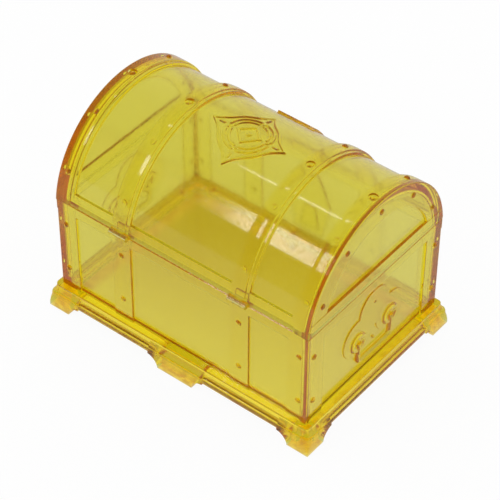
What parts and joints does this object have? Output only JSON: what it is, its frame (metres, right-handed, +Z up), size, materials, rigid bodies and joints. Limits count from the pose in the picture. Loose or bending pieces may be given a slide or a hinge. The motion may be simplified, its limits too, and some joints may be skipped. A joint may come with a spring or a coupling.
{
  "type": "treasure chest box",
  "caption": "Clear amber plastic treasure chest box with a hinged barrel lid, hoops, straps and handle plates in relief, on bracket feet; holds sweets or keepsakes.",
  "frame": {"origin": "centre of the footprint, at the level that the feet stand on", "axes": "+X along the long walls, +Y out of the front with the lock plate, +Z up"},
  "size_m": [0.125, 0.0882, 0.0907],
  "materials": {
    "clear_amber_plastic": "clear tinted, polished"
  },
  "bodies": {
    "base": {"base_box": "clear_amber_plastic", "hinge_pin_left": "clear_amber_plastic", "hinge_pin_right": "clear_amber_plastic"},
    "lid": {"lid": "clear_amber_plastic"}
  },
  "joints": [
    {"name": "lid_hinge", "type": "hinge", "parent": "base", "child": "lid", "pos_m": [0, -0.0408, 0.05448], "axis": [1, 0, 0], "range_deg": [0, 105]}
  ]
}
